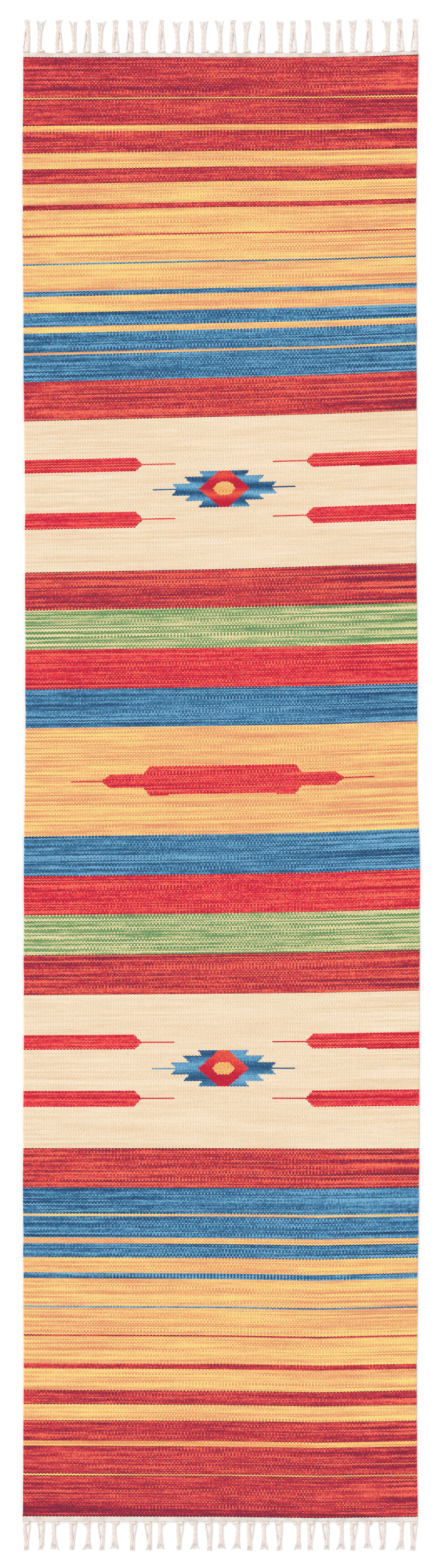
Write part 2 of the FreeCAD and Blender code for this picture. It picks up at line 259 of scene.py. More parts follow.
def head_rise(x, y):
    """The north corners of the rug stand a little proud of its straight end, the west one less."""
    near_end = climb(y, start=1190 * MM, length=30 * MM)
    east = climb(x, start=120 * MM, length=200 * MM) ** 2
    west = 0.3 * climb(-x, start=240 * MM, length=80 * MM) ** 2
    return near_end * HEAD_RISE * (east + west)


def column_signs(pick):
    """Where a colour change before `pick` steps down (-1) or up (1), on the crown of each warp."""
    column = np.arange(COLUMNS + 1)
    step = np.where((column // 2 - pick) % 2 == 0, -1.0, 1.0)
    return np.where(column % 2 == 1, step, 0.0)


def plain_rows(strip, fold_south, fold_north):
    """Rows of a plain band: their share of the way up the strip."""
    height = mean_height(strip)
    if not (fold_south or fold_north):
        return np.linspace(0, 1, max(1, round(height / PLAIN_ROW)) + 1)
    near = np.linspace(0, FOLD_REACH / height, FOLD_ROWS + 1)
    far = np.linspace(near[-1], 1, max(2, round((height - FOLD_REACH) / PLAIN_ROW)) + 1)
    shares = np.concatenate([near, far[1:]])
    return 1 - shares[::-1] if fold_north else shares


def vertical_span(loop, x):
    """The lowest and highest y of an outline at x, or None where it has none."""
    crossings = []
    for (x0, y0), (x1, y1) in zip(loop, loop[1:] + loop[:1]):
        if (x0 > x) != (x1 > x):
            crossings.append(y0 + (y1 - y0) * (x - x0) / (x1 - x0))
    return (min(crossings), max(crossings)) if crossings else None


def thin_lines(node):
    """The single-pick tails of a motif: for each, its columns and its middle height."""
    tallest = 2.2 * MM
    fewest_columns = 9
    centres = (COLUMN_X[:-1] + COLUMN_X[1:]) / 2
    lines = []
    for loop in outlines(node):
        columns = []
        heights = []
        for column, x in enumerate(centres):
            span = vertical_span(loop, x)
            if span and span[1] - span[0] < tallest:
                if columns and column > columns[-1] + 1:
                    lines.append((columns, heights))
                    columns = []
                    heights = []
                columns.append(column)
                heights.append((span[0] + span[1]) / 2)
        lines.append((columns, heights))
    return [(np.array(c), np.array(h)) for c, h in lines if len(c) >= fewest_columns]


def field_rows(strip, lines):
    """Rows of a field, one float high, with a flatter row wherever a thin line runs: the share of
    each row's edge, and how strongly it zigzags."""
    thin_zigzag = 0.5
    rows = np.linspace(0, 1, strip["picks"] // 2 + 1)
    height = mean_height(strip)
    half = THIN_LINE / 2 / height
    narrow = []
    for columns, heights in lines:
        south = strip["south"][columns]
        share = float(np.mean((heights - south) / (strip["north"][columns] - south)))
        if all(abs(share - other) > 3 * half for other in narrow):
            narrow.append(share)
    for share in narrow:
        rows = rows[np.abs(rows - share) > 1.6 * half]
    thin_edges = [share + side * half for share in narrow for side in (-1, 1)]
    strengths = np.append(np.ones(len(rows)), np.full(len(thin_edges), thin_zigzag))
    rows = np.append(rows, thin_edges)
    order = np.argsort(rows)
    return rows[order], strengths[order]


def flat_rows(strip, shares):
    """How far north each row edge lies at each column, before it zigzags."""
    return strip["south"] + shares[:, None] * (strip["north"] - strip["south"])


def surface(x, y, side):
    """Height of the face (side 1) or the underside (side 0) of the cloth at grid points."""
    rib = np.where(np.arange(COLUMNS + 1) % 2 == 0, RIB_DEPTH, 0.0)[None, :]
    edge = np.clip((HALF_WIDTH - np.abs(COLUMN_X)) / SELVEDGE, 0, 1)
    flat = np.sqrt(1 - (1 - edge) ** 2)[None, :]
    bumps = BUMP * value_noise(x / (4 * MM), y / (9 * MM), seed=17 + side)
    half = (THICKNESS / 2 - rib - 1.2 * BUMP + bumps) * flat + SELVEDGE_HALF * (1 - flat)
    lift = LIFT * (0.5 + 0.5 * value_noise(x / (110 * MM), y / (130 * MM), seed=3))
    return THICKNESS / 2 + lift + (half if side else -half)


def strip_grid(strip, shares, strengths):
    """Face and underside points of one strip, and the weave coordinates of each."""
    signs = column_signs(strip["first"])[None, :] * strengths[:, None]
    if strengths[-1] and strip["picks"] % 2:
        signs[-1] *= -1
    band = strip["band_north"] - strip["band_south"]
    flat_y = flat_rows(strip, shares)
    pick = 0.5 + strip["first"] + strip["picks"] * (flat_y - strip["band_south"]) / band + 0.5 * signs
    y = flat_y + 0.5 * signs * band / strip["picks"]
    x = np.broadcast_to(COLUMN_X, y.shape)
    warp = np.broadcast_to(np.arange(COLUMNS + 1) / 2, y.shape)
    seed = np.full(y.shape, float(strip["seed"]))
    from_south = pick - strip["first"]
    picks = np.full(y.shape, float(strip["picks"]))
    weave = np.stack([warp, pick, seed, from_south, picks - from_south, picks], axis=-1)
    plan = [x + sway(x, y), y + head_rise(x, y)]
    face = np.stack([*plan, surface(x, y, 1)], axis=-1)
    under = np.stack([*plan, surface(x, y, 0)], axis=-1)
    return face, under, weave


def solid_from_cells(face, under, weave, mask):
    """Points, quads and weave coordinates of the closed slab over the grid's chosen cells."""
    rows, columns = mask.shape
    count = (rows + 1) * (columns + 1)
    corner = np.arange(count).reshape(rows + 1, columns + 1)
    a, b = corner[:-1, :-1], corner[:-1, 1:]
    c, d = corner[1:, 1:], corner[1:, :-1]
    top = np.stack([a, b, c, d], axis=-1)[mask]
    bottom = np.stack([d, c, b, a], axis=-1)[mask] + count
    quads = [top, bottom]
    padded = np.pad(mask, 1)
    sides = (
        (padded[:-2, 1:-1], a, b),
        (padded[2:, 1:-1], c, d),
        (padded[1:-1, :-2], d, a),
        (padded[1:-1, 2:], b, c),
    )
    for neighbour, start, end in sides:
        open_side = mask & ~neighbour
        quads.append(np.stack([end, start, start + count, end + count], axis=-1)[open_side])
    quads = np.concatenate(quads)
    used, compact = np.unique(quads, return_inverse=True)
    points = np.concatenate([face.reshape(-1, 3), under.reshape(-1, 3)])[used]
    coordinates = np.concatenate([weave.reshape(-1, weave.shape[-1])] * 2)[used]
    return points, compact.reshape(quads.shape), coordinates


def inside(loop, x, y):
    """Which of the points (x, y) lie inside a closed outline."""
    found = np.zeros(x.shape, bool)
    for (x0, y0), (x1, y1) in zip(loop, loop[1:] + loop[:1]):
        if y1 != y0:
            crosses = (y0 > y) != (y1 > y)
            found ^= crosses & (x < (x1 - x0) * (y - y0) / (y1 - y0) + x0)
    return found


def past_the_selvedge(loop):
    """The outline, with the points on the rug's side edges moved out past the cloth."""
    return [(x * 1.05 if abs(x) > HALF_WIDTH - 0.1 * MM else x, y) for x, y in loop]


def motif_cells(motif, lines, middle_x, middle_y):
    """The grid cells that a motif covers. Its thin lines keep to one row each, and reach a little
    way into the shapes that they join."""
    mask = np.zeros(middle_x.shape, bool)
    for loop in outlines(motif):
        mask |= inside(past_the_selvedge(loop), middle_x, middle_y)
    for columns, _ in lines:
        mask[:, columns] = False
    for columns, heights in lines:
        row = int(np.median(np.abs(middle_y[:, columns] - heights).argmin(axis=0)))
        mask[row, columns[0] - TAIL_OVERLAP:columns[-1] + TAIL_OVERLAP + 1] = True
    return mask


def field_parts(strip):
    """Share a field's cells between the field and the motifs inlaid in it."""
    lines = {motif: thin_lines(motif) for motif in MOTIFS[strip["node"]]}
    shares, strengths = field_rows(strip, [line for found in lines.values() for line in found])
    grid = strip_grid(strip, shares, strengths)
    flat_y = flat_rows(strip, shares)
    middle_x = np.broadcast_to((COLUMN_X[:-1] + COLUMN_X[1:]) / 2, (len(shares) - 1, COLUMNS))
    middle_y = (flat_y[:-1, :-1] + flat_y[1:, 1:]) / 2
    free = np.ones(middle_x.shape, bool)
    parts = {}
    for motif, found in lines.items():
        mask = motif_cells(motif, found, middle_x, middle_y) & free
        free &= ~mask
        parts[motif] = solid_from_cells(*grid, mask)
    parts[strip["node"]] = solid_from_cells(*grid, free)
    return parts


def band_part(strip, above, below):
    """The closed slab of one plain band."""
    fold = fold_of(strip["node"])
    fold_north = bool(fold) and above is not None and fold_of(above["node"]) == fold
    fold_south = bool(fold) and below is not None and fold_of(below["node"]) == fold
    shares = plain_rows(strip, fold_south, fold_north)
    strengths = np.zeros(len(shares))
    strengths[0] = float(below is not None and not fold_south)
    strengths[-1] = float(above is not None and not fold_north)
    grid = strip_grid(strip, shares, strengths)
    return solid_from_cells(*grid, np.ones((len(shares) - 1, COLUMNS), bool))


def add_object(name, data):
    made = bpy.data.objects.new(name, data)
    bpy.context.scene.collection.objects.link(made)
    return made


def mesh_object(name, parts, material):
    """One smooth-shaded object from (points, quads, weave coordinates) parts."""
    offsets = np.cumsum([0] + [len(part[0]) for part in parts[:-1]])
    points = np.concatenate([part[0] for part in parts])
    quads = np.concatenate([part[1] + offset for part, offset in zip(parts, offsets)])
    weave = np.concatenate([part[2] for part in parts])
    mesh = bpy.data.meshes.new(name)
    mesh.vertices.add(len(points))
    mesh.vertices.foreach_set("co", points.astype(np.float32).ravel())
    mesh.loops.add(quads.size)
    mesh.loops.foreach_set("vertex_index", quads.astype(np.int32).ravel())
    mesh.polygons.add(len(quads))
    mesh.polygons.foreach_set("loop_start", np.arange(0, quads.size, 4, dtype=np.int32))
    mesh.update(calc_edges=True)
    mesh.validate()
    coordinates = mesh.attributes.new("weave", "FLOAT_VECTOR", "POINT")
    coordinates.data.foreach_set("vector", weave[:, :3].astype(np.float32).ravel())
    if weave.shape[1] > 3:
        changes = mesh.attributes.new("changes", "FLOAT_VECTOR", "POINT")
        changes.data.foreach_set("vector", weave[:, 3:].astype(np.float32).ravel())
    mesh.polygons.foreach_set("use_smooth", np.ones(len(quads), bool))
    mesh.set_sharp_from_angle(angle=math.radians(SHARP_ANGLE))
    mesh.materials.append(material)
    return add_object(name, mesh)


# ---- materials

# How far a line of weft wanders and how far along the yarn each band starts from the next, both in
# picks, and the scale of the fuzz, in cells to a metre.
RIPPLE = 0.7
YARN_PER_BAND = 37.3
FUZZ_SCALE = 2600.0


def linear(red, green, blue):
    """A colour given as screen values from 0 to 255, as the shader's linear colour."""
    channels = []
    for value in (red, green, blue):
        share = value / 255
        channels.append(share / 12.92 if share <= 0.04045 else ((share + 0.055) / 1.055) ** 2.4)
    return (*channels, 1.0)


def grey(value):
    return (value, value, value, 1.0)


def colour_scale(tones):
    """The stops of a ramp, from a dictionary of screen colours by position."""
    return [(position, linear(*shade)) for position, shade in tones.items()]


class Nodes:
    """Short ways to add shader nodes and join them."""

    def __init__(self, material):
        material.use_nodes = True
        self.tree = material.node_tree
        self.tree.nodes.clear()

    def add(self, kind, inputs, **settings):
        """A node with these settings. Its inputs, by name or number, get values or are joined."""
        node = self.tree.nodes.new(kind)
        for name, setting in settings.items():
            setattr(node, name, setting)
        for name, source in inputs.items():
            if isinstance(source, (int, float, tuple)):
                node.inputs[name].default_value = source
            else:
                self.tree.links.new(source, node.inputs[name])
        return node

    def math(self, operation, *sources):
        return self.add("ShaderNodeMath", dict(enumerate(sources)), operation=operation).outputs[0]

    def plus(self, *sources):
        return functools.reduce(functools.partial(self.math, "ADD"), sources)

    def times(self, *sources):
        return functools.reduce(functools.partial(self.math, "MULTIPLY"), sources)

    def minus(self, first, second):
        return self.math("SUBTRACT", first, second)

    def floor(self, value):
        return self.math("FLOOR", value)

    def vector(self, x, y, z):
        return self.add("ShaderNodeCombineXYZ", {"X": x, "Y": y, "Z": z}).outputs[0]

    def parts(self, vector):
        """The x, y and z of a vector."""
        return self.add("ShaderNodeSeparateXYZ", {"Vector": vector}).outputs

    def attribute(self, name):
        """The x, y and z of one of the mesh's attributes."""
        return self.parts(self.add("ShaderNodeAttribute", {}, attribute_name=name).outputs["Vector"])

    def place(self):
        """Where a point lies on the rug at rest, in metres."""
        return self.add("ShaderNodeTexCoord", {}).outputs["Object"]

    def noise(self, vector, scale=1.0, detail=0.0):
        """Smooth noise about 0, from about -0.5 to 0.5."""
        node = self.add("ShaderNodeTexNoise", {"Vector": vector, "Scale": scale, "Detail": detail},
                        noise_dimensions="3D")
        return self.minus(node.outputs["Fac"], 0.5)

    def chance(self, vector):
        """A different number from 0 to 1 for every whole vector."""
        node = self.add("ShaderNodeTexWhiteNoise", {"Vector": vector}, noise_dimensions="3D")
        return node.outputs["Value"]

    def from_middle(self, value):
        """How far a value lies past the middle of its whole step, from -0.5 to 0.5."""
        return self.minus(self.math("FRACT", value), 0.5)

    def arch(self, offset, steepness):
        """1 in the middle of a step, and lower towards its ends."""
        return self.minus(1.0, self.times(offset, offset, steepness))

    def ramp(self, share, stops):
        node = self.add("ShaderNodeValToRGB", {"Fac": share})
        elements = node.color_ramp.elements
        while len(elements) < len(stops):
            elements.new(0.5)
        for element, (position, colour) in zip(elements, stops):
            element.position = position
            element.color = colour
        return node.outputs["Color"]

    def mix(self, kind, share, first, second):
        """Two colours mixed, by the numbers of the mix node's colour sockets."""
        node = self.add("ShaderNodeMix", {0: share, 6: first, 7: second}, data_type="RGBA",
                        blend_type=kind)
        return node.outputs[2]

    def finish(self, inputs):
        """A principled shader with these inputs, as the material's surface."""
        shader = self.add("ShaderNodeBsdfPrincipled", inputs)
        self.add("ShaderNodeOutputMaterial", {"Surface": shader.outputs[0]})

    def cotton(self, colour, height, fibre, distance):
        """A matt cotton surface with a bump."""
        bump = self.add("ShaderNodeBump", {"Strength": 0.6, "Distance": distance, "Height": height})
        self.finish({
            "Base Color": colour, "Roughness": self.plus(0.86, self.times(fibre, 0.22)),
            "Specular IOR Level": 0.25, "Sheen Weight": 0.1, "Sheen Roughness": 0.6,
            "Normal": bump.outputs[0],
        })


class Weft(Nodes):
    """Plain weave with its warps hidden: which warp and which pick each point of the cloth shows.

    A float covers two picks. Odd warps show the odd picks and even warps the even ones, so the
    courses of floats on odd warps lie one pick further north.
    """

    def __init__(self, material):
        super().__init__(material)
        self.warp, straight, self.seed = self.attribute("weave")
        ripple = self.streaks(straight, per_warp=0.16, per_pick=0.10)
        self.pick = self.plus(straight, self.times(ripple, RIPPLE))
        self.odd = self.math("MODULO", self.floor(self.warp), 2.0)
        self.course = self.math("DIVIDE", self.minus(self.pick, self.odd), 2.0)
        self.thrown = self.plus(self.times(self.floor(self.course), 2.0), self.odd)
        self.across = self.math("DIVIDE", self.warp, float(WARP_THREADS))

    def streaks(self, picks, per_warp, per_pick, seed=None, detail=1.0):
        """Noise that moves on by these steps from one warp and from one pick to the next."""
        own = self.vector(self.times(self.warp, per_warp), self.times(picks, per_pick),
                          self.seed if seed is None else seed)
        return self.noise(own, detail=detail)

    def dye(self, stripe, run, fine, heather, patch, reach, dye_repeat):
        """The tone of the yarn in each float, from about 0 for dark to 1 for light."""
        back = self.times(self.odd, self.minus(1.0, self.times(self.across, 2.0 * reach)))
        yarn = self.plus(self.thrown, self.times(self.across, reach), back,
                         self.times(self.seed, YARN_PER_BAND))
        wander = self.noise(self.vector(self.times(yarn, 0.07), self.seed, 0.0), detail=1.0)
        phase = self.plus(self.times(yarn, 0.5 - 1 / dye_repeat), self.times(wander, 3.0))
        wave = self.math("SINE", self.times(phase, 2 * math.pi))
        off_centre = self.math("ABSOLUTE", self.minus(self.times(self.across, 2.0), 1.0))
        long_run = self.times(self.streaks(yarn, per_warp=0.006, per_pick=0.5),
                              self.plus(0.65, self.times(off_centre, 0.75)))
        short_run = self.streaks(yarn, per_warp=0.07, per_pick=1.61, seed=self.plus(self.seed, 0.7),
                                 detail=0.0)
        broad = self.streaks(self.pick, per_warp=0.012, per_pick=0.07)
        own_float = self.vector(self.floor(self.warp), self.thrown, self.seed)
        each_float = self.minus(self.chance(own_float), 0.5)
        return self.plus(0.5, self.times(wave, stripe), self.times(long_run, run),
                         self.times(short_run, fine), self.times(broad, patch),
                         self.times(each_float, heather))

    def fading(self, lightest, repeat, opposed):
        """A tone that goes up and down along the rug, lightest at one y and once more each repeat.
        Opposed, the west half is darkest where the east half is lightest."""
        half_turn = self.times(self.math("LESS_THAN", self.across, 0.5), 0.5 * opposed)
        drift = self.streaks(self.pick, per_warp=0.04, per_pick=0.04, seed=3.0, detail=0.0)
        north = self.parts(self.place())[1]
        turns = self.plus(self.times(self.minus(north, lightest), 1 / repeat), half_turn,
                          self.times(drift, 0.35))
        return self.times(self.math("COSINE", self.times(turns, 2 * math.pi)), 0.34)

    def gloom(self):
        """How much darker the cloth gets close to the south header, from further up at the west."""
        east, north, _ = self.parts(self.place())
        past = self.plus(self.times(east, -0.035), self.times(north, -1.0), -1.203)
        return self.math("MINIMUM", self.math("MAXIMUM", self.times(past, 160.0), 0.0), 0.42)

    def float_shape(self):
        """The rounded height of a float, and the ridges of its twisted plies."""
        side_on = self.from_middle(self.warp)
        end_on = self.from_middle(self.course)
        dome = self.times(self.arch(side_on, 3.4), self.arch(end_on, 3.4))
        ply = self.math("SINE", self.times(self.plus(self.times(side_on, 2.0), end_on), 4 * math.pi))
        return dome, ply

    def flecks(self, share, dome):
        """Small spots, each a part of a float, on this share of the cloth."""
        spot = self.vector(self.floor(self.times(self.warp, 2.3)),
                           self.floor(self.pick), self.plus(self.seed, 0.5))
        chosen = self.math("GREATER_THAN", self.chance(spot), 1 - share)
        return self.times(chosen, self.math("MAXIMUM", dome, 0.0), 0.62)

    def seam(self):
        """Painted shade in the gap where a band of more than eight picks begins or ends, uneven
        along the pick.
        """
        from_south, from_north, picks = self.attribute("changes")
        nearest = self.math("MINIMUM", self.minus(from_south, self.odd),
                            self.plus(from_north, self.odd))
        uneven = self.noise(self.vector(self.times(self.warp, 0.09), self.seed, 0.0))
        dark = self.ramp(self.plus(nearest, self.times(uneven, 1.2)),
                         [(0.45, grey(0.85)), (1.0, grey(0.0))])
        return self.times(dark, self.math("GREATER_THAN", picks, 8.0))


def weft_material(name, tones, stripe=0.24, run=1.6, fine=0.8, heather=0.28, patch=0.5, depth=1.15,
                  edge=None, fleck=None, fleck_share=0.003, fade=None, opposed=False,
                  dark_end=False, reach=1.0, dye_repeat=7.1):
    """Space-dyed weft in plain weave.

    One yarn runs back and forth, pick after pick, and its colour changes along its length with a
    repeat close to two picks. Near the selvedges neighbouring picks agree and make fine stripes;
    in the middle they disagree, and the floats of odd and even warps make a pick-and-pick check.
    dye_repeat is the picks from stripe to stripe, and reach the share of the rug's width that a
    pick crosses: where it is small, neighbours agree everywhere.

    stripe, run, fine, heather and patch say how strongly the tone changes with the dye, along the
    yarn, over a few warps, from float to float and in broad patches, and depth how strong the
    painted shade in the gaps between floats and the painted highlight on their crowns are. edge is
    the colour of the painted shade where one band meets the next, and fleck that of some small
    spots. fade makes the yarn lighter and darker along the rug: a lightest place and the repeat, in
    metres.
    """
    material = bpy.data.materials.new(name)
    n = Weft(material)
    tone = n.dye(stripe, run, fine, heather, patch, reach, dye_repeat)
    if fade:
        tone = n.plus(tone, n.fading(*fade, opposed))
    if dark_end:
        tone = n.minus(tone, n.gloom())
    dome, ply = n.float_shape()
    # Painted shade in the gaps between floats and a painted highlight on their crowns, from each float's
    # rounded height.
    shade = n.ramp(dome, [(0.0, grey(1 - 0.42 * depth)), (0.42, grey(1 - 0.04 * depth)),
                          (1.0, grey(1 + 0.1 * depth))])
    colour = n.mix("MULTIPLY", 1.0, n.ramp(tone, colour_scale(tones)), shade)
    fibre = n.noise(n.place(), scale=FUZZ_SCALE, detail=2.0)
    fluff = n.ramp(n.plus(0.5, fibre), [(0.3, grey(0.92)), (0.7, grey(1.08))])
    colour = n.mix("MULTIPLY", 1.0, colour, fluff)
    if fleck:
        colour = n.mix("MIX", n.flecks(fleck_share, dome), colour, linear(*fleck))
    if edge:
        # Painted shade: a dark brown line in the gap where one band of weft meets the next.
        colour = n.mix("MIX", n.seam(), colour, linear(*edge))
    height = n.plus(dome, n.times(fibre, 0.35), n.times(ply, 0.06))
    n.cotton(colour, height, fibre, distance=0.6 * MM)
    return material


def header_material():
    """The ivory header: weft cords twined in slanting strokes, two picks to a cord."""
    material = bpy.data.materials.new("ivory_header")
    n = Nodes(material)
    warp, pick, _ = n.attribute("weave")
    cord = n.times(pick, 0.5)
    row = n.floor(cord)
    slant = n.minus(n.times(n.math("MODULO", row, 2.0), 2.0), 1.0)
    uneven = n.noise(n.vector(n.times(warp, 0.3), row, 0.0))
    stroke = n.math("SINE", n.times(n.plus(warp, n.times(slant, pick, 0.45), uneven), 2 * math.pi))
    dome = n.arch(n.from_middle(cord), 2.0)
    place = n.place()
    fibre = n.noise(place, scale=FUZZ_SCALE, detail=2.0)
    blotch = n.noise(place, scale=60.0, detail=1.0)
    # The slanting strokes and the middle of each cord are painted lighter and the gaps between them
    # darker: painted highlight and painted shade of the twined cords. The blotches and fibres are the
    # yarn's own uneven tone.
    tone = n.plus(n.times(stroke, 0.34), n.times(dome, 0.5), n.times(blotch, 0.7), n.times(fibre, 0.4))
    colour = n.ramp(tone, colour_scale(HEADER_TONES))
    height = n.plus(n.times(stroke, 0.45), dome, n.times(fibre, 0.35))
    n.cotton(colour, height, fibre, distance=0.6 * MM)
    return material


def fringe_material():
    """Loosely twisted cotton cord, with a painted pinkish shade where its plies meet and a painted
    highlight on their crowns.
    """
    material = bpy.data.materials.new("ivory_fringe")
    n = Nodes(material)
    crown = n.attribute("weave")[0]
    place = n.place()
    fibre = n.noise(place, scale=3000.0, detail=2.0)
    blotch = n.noise(place, scale=160.0, detail=1.0)
    # Painted highlight on the crowns of the plies and painted pinkish shade in the grooves between them;
    # the blotches and fibres are the yarn's own uneven tone.
    tone = n.plus(0.26, n.times(crown, 0.36), n.times(blotch, 0.3), n.times(fibre, 0.7))
    colour = n.ramp(tone, colour_scale(FRINGE_TONES))
    height = n.plus(n.times(crown, 0.35), n.times(fibre, 0.6))
    n.cotton(colour, height, fibre, distance=0.4 * MM)
    return material


# The yarns' colours, in screen values, from the darkest tone to the lightest.
DARK_RED_TONES = {0.0: (134, 26, 58), 0.36: (190, 41, 64), 0.66: (228, 69, 73), 1.0: (255, 117, 90)}
STRIE_TONES = {0.0: (132, 30, 62), 0.34: (188, 43, 64), 0.60: (231, 70, 69), 0.95: (255, 118, 92)}
BRIGHT_TONES = {0.0: (186, 14, 54), 0.38: (225, 35, 65), 0.64: (248, 70, 76), 0.95: (255, 114, 90)}
DIAMOND_TONES = {0.0: (190, 10, 52), 0.38: (214, 26, 58), 0.64: (234, 62, 62), 0.95: (244, 100, 70)}
ORANGE_TONES = {0.0: (234, 148, 108), 0.38: (246, 183, 122), 0.62: (252, 202, 132), 1.0: (255, 224, 134)}
GOLD_TONES = {0.0: (232, 140, 98), 0.36: (240, 166, 108), 0.62: (247, 188, 116), 1.0: (255, 218, 126)}
BLUE_TONES = {0.0: (26, 68, 110), 0.38: (53, 112, 155), 0.64: (81, 146, 187), 0.95: (122, 182, 216)}
GREEN_TONES = {0.06: (88, 142, 89), 0.38: (129, 164, 107), 0.62: (204, 204, 144), 0.92: (244, 226, 174)}
CREAM_TONES = {0.0: (236, 203, 163), 0.50: (246, 223, 192), 1.0: (252, 238, 216)}
EYE_TONES = {0.0: (228, 142, 84), 0.50: (247, 188, 112), 1.0: (253, 216, 136)}
# The header's darker tones are painted shade between its cords, and its lighter ones painted highlight.
HEADER_TONES = {0.0: (194, 173, 161), 0.4: (240, 229, 219), 0.8: (253, 248, 240)}
# The fringe's darkest tone is the painted pinkish shade between its plies.
FRINGE_TONES = {0.1: (216, 194, 187), 0.4: (237, 226, 219), 0.8: (250, 245, 240)}
WHITE_FLECK = (246, 188, 168)
# The colour of the painted shade in the gaps where bands meet.
SEAM_SHADE_BROWN = (78, 30, 34)

LOOKS = {
    "dark_red_weft": dict(tones=DARK_RED_TONES, run=1.3, fine=1.0, heather=0.46, depth=1.4,
                          edge=SEAM_SHADE_BROWN, fleck=WHITE_FLECK, dark_end=True),
    "strie_red_weft": dict(tones=STRIE_TONES, stripe=0.26, run=2.1, heather=0.42, depth=1.35,
                           edge=SEAM_SHADE_BROWN, fleck=WHITE_FLECK),
    "bright_red_weft": dict(tones=BRIGHT_TONES, stripe=0.26, run=1.9, heather=0.5, depth=1.45,
                            edge=SEAM_SHADE_BROWN, fleck=WHITE_FLECK, fleck_share=0.002),
    "gold_weft": dict(tones=GOLD_TONES, patch=1.2, depth=0.35),
    "orange_weft": dict(tones=ORANGE_TONES, run=2.0, patch=1.2, depth=1.05, fleck=(150, 100, 60),
                        fleck_share=0.0008),
    "blue_weft": dict(tones=BLUE_TONES, stripe=0.28, run=1.5, heather=0.42, depth=1.3),
    "green_weft": dict(tones=GREEN_TONES, stripe=0.32, run=1.5, heather=0.2, depth=0.85),
    "cream_weft": dict(tones=CREAM_TONES, stripe=0.1, run=0.8, fine=0.6, heather=0.18, patch=0.7,
                       depth=0.75, fleck=(126, 92, 60), fleck_share=0.0013),
}
MATERIALS = {name: weft_material(name, **look) for name, look in LOOKS.items()}
MATERIALS["ivory_cotton"] = header_material()
# The medallions are woven from yarn that goes from dark to light and back. For each end: a place
# where it is lightest and the length of a repeat, in metres.
WING_FADES = {"north": (0.508, 0.0223), "south": (-0.4453, 0.0425)}
DIAMOND_FADES = {"north": (0.5181, 0.0344), "south": (-0.4453, 0.093)}
WING_BLUE = {
    end: weft_material(f"{end}_wing_blue_weft", BLUE_TONES, stripe=0.04, run=0.3, fine=0.5,
                       heather=0.24, depth=1.45, fade=fade, opposed=True)
    for end, fade in WING_FADES.items()
}
DIAMOND_RED = {
    end: weft_material(f"{end}_diamond_red_weft", DIAMOND_TONES, stripe=0.04, run=0.3, fine=0.4,
                       heather=0.26, depth=1.45, fade=fade)
    for end, fade in DIAMOND_FADES.items()
}
BAR_RED = weft_material("side_bar_red_weft", BRIGHT_TONES, stripe=0.3, run=0.9, fine=0.7, heather=0.4,
                        depth=1.4, edge=SEAM_SHADE_BROWN, fleck=WHITE_FLECK, fleck_share=0.002, reach=0.05,
                        dye_repeat=4.8)
EYE_ORANGE = weft_material("medallion_eye_weft", EYE_TONES, stripe=0.04, run=0.6, fleck=(150, 70, 50))
FRINGE = fringe_material()


def material_of(node):
    if node.endswith("medallion_wings"):
        return WING_BLUE[node.split("_")[0]]
    if node.endswith("medallion_diamond"):
        return DIAMOND_RED[node.split("_")[0]]
    if node.endswith("medallion_eye"):
        return EYE_ORANGE
    if node.endswith("side_bars"):
        return BAR_RED
    return MATERIALS[SLOT_OF[node]]


# ---- the woven pieces

def woven_pieces(strips):
    parts = {}
    for number, strip in enumerate(strips):
        above = strips[number - 1] if number else None
        below = strips[number + 1] if number + 1 < len(strips) else None
        if strip["node"] in MOTIFS:
            for node, part in field_parts(strip).items():
                parts.setdefault(node, []).append(part)
        else:
            parts.setdefault(strip["node"], []).append(band_part(strip, above, below))
    return {node: mesh_object(f"{node}_cloth", found, material_of(node))
            for node, found in parts.items()}


def hang_on_bodies(cloth):
    """Each piece rides on its body, except the two halves of a folded band, which ride on none.
    The CAD parts that the cloth stands for, and the CAD warps of each panel, are hidden."""
    for node, piece in cloth.items():
        if fold_of(node):
            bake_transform(piece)
        else:
            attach(piece, BODY_OF[node])
        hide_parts(node)
    for node in NODES:
        if node.endswith("_warps"):
            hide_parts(node)


# ---- tassels

def smooth_path(points, count):
    """A curve through the points (Catmull-Rom), as count places evenly along its parameter."""
    known = np.array(points, float)
    known = np.concatenate([2 * known[:1] - known[1:2], known, 2 * known[-1:] - known[-2:-1]])
    at = np.linspace(0, len(points) - 1 - 1e-9, count)
    i = at.astype(int)
    t = (at - i)[:, None]
    p0, p1, p2, p3 = known[i], known[i + 1], known[i + 2], known[i + 3]
    return 0.5 * (2 * p1 + (p2 - p0) * t + (2 * p0 - 5 * p1 + 4 * p2 - p3) * t ** 2
                  + (3 * p1 - p0 - 3 * p2 + p3) * t ** 3)


